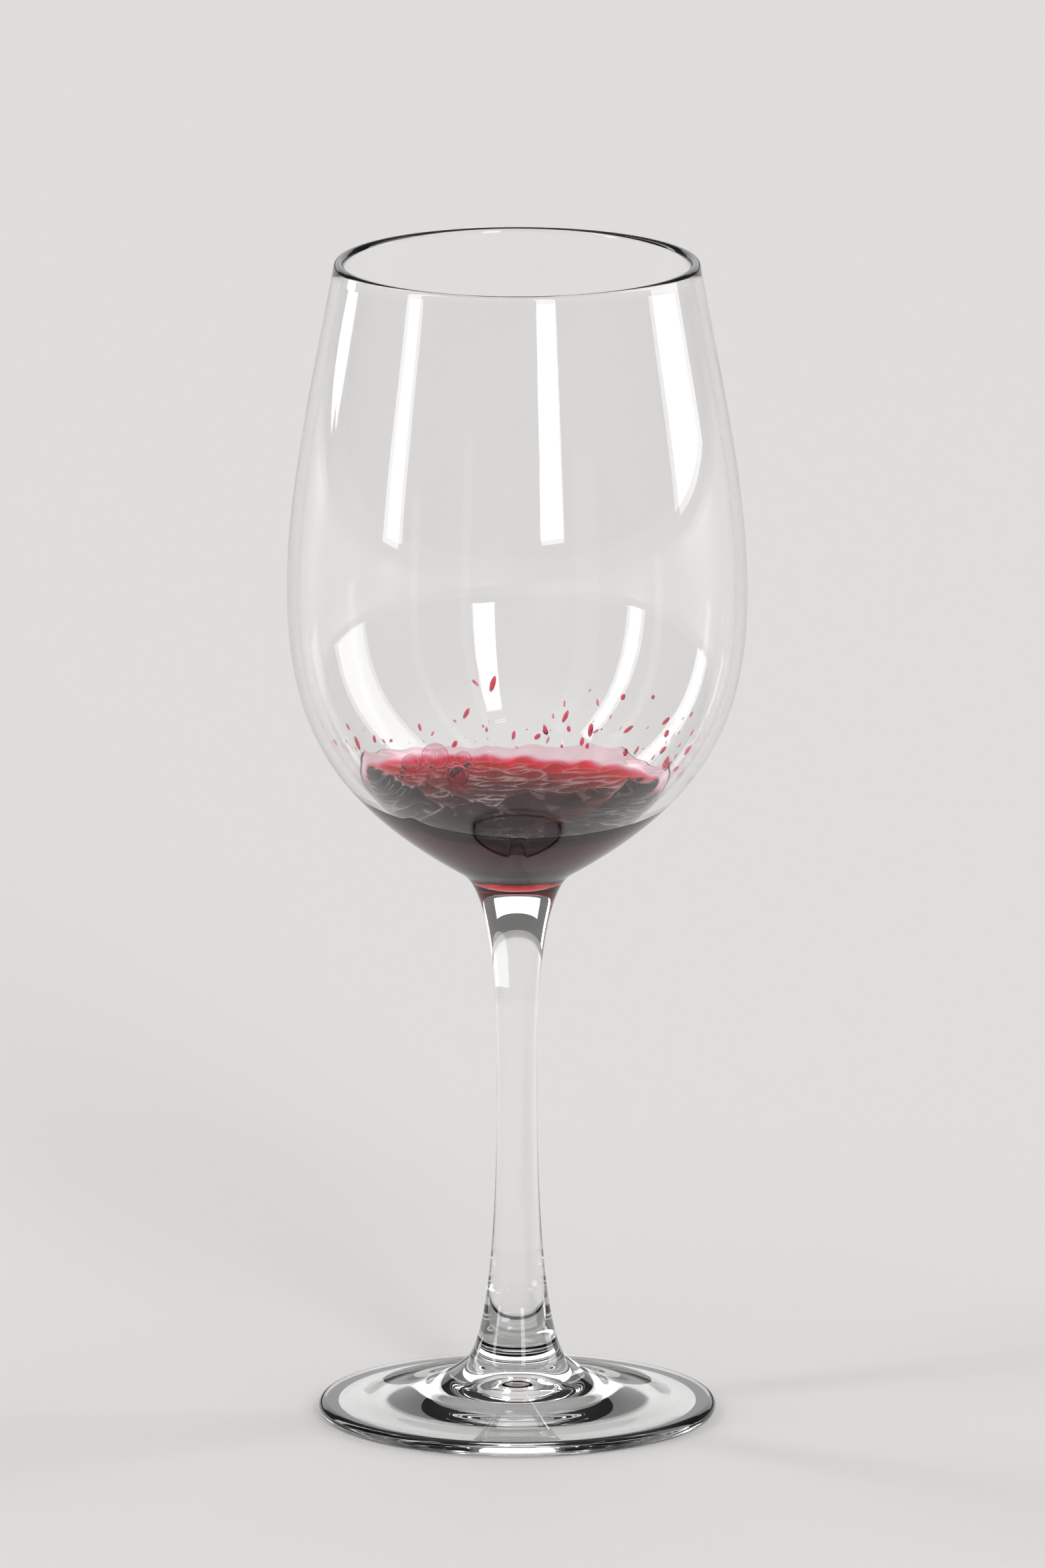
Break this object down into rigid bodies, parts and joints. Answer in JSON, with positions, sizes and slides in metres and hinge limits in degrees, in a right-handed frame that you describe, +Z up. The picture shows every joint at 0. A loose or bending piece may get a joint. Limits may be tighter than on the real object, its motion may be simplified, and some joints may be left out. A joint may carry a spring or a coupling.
{
  "type": "glass of red wine",
  "caption": "Stemmed red wine glass with a wide bowl, a slim stem and a round foot, holding a small, still rippling measure of red wine.",
  "frame": {"origin": "middle of the circle that the foot stands on, at table level", "axes": "+Z up the stem's axis, -Y the front, +X to the right"},
  "size_m": [0.086, 0.086, 0.22],
  "materials": {
    "clear_glass": "clear polished glass, slightly wavy from pulling the stem",
    "red_wine": "deep ruby wine, glossy wet surface, almost black where it is deep"
  },
  "bodies": {
    "root": {"glass": "clear_glass", "wine": "red_wine"}
  },
  "joints": []
}
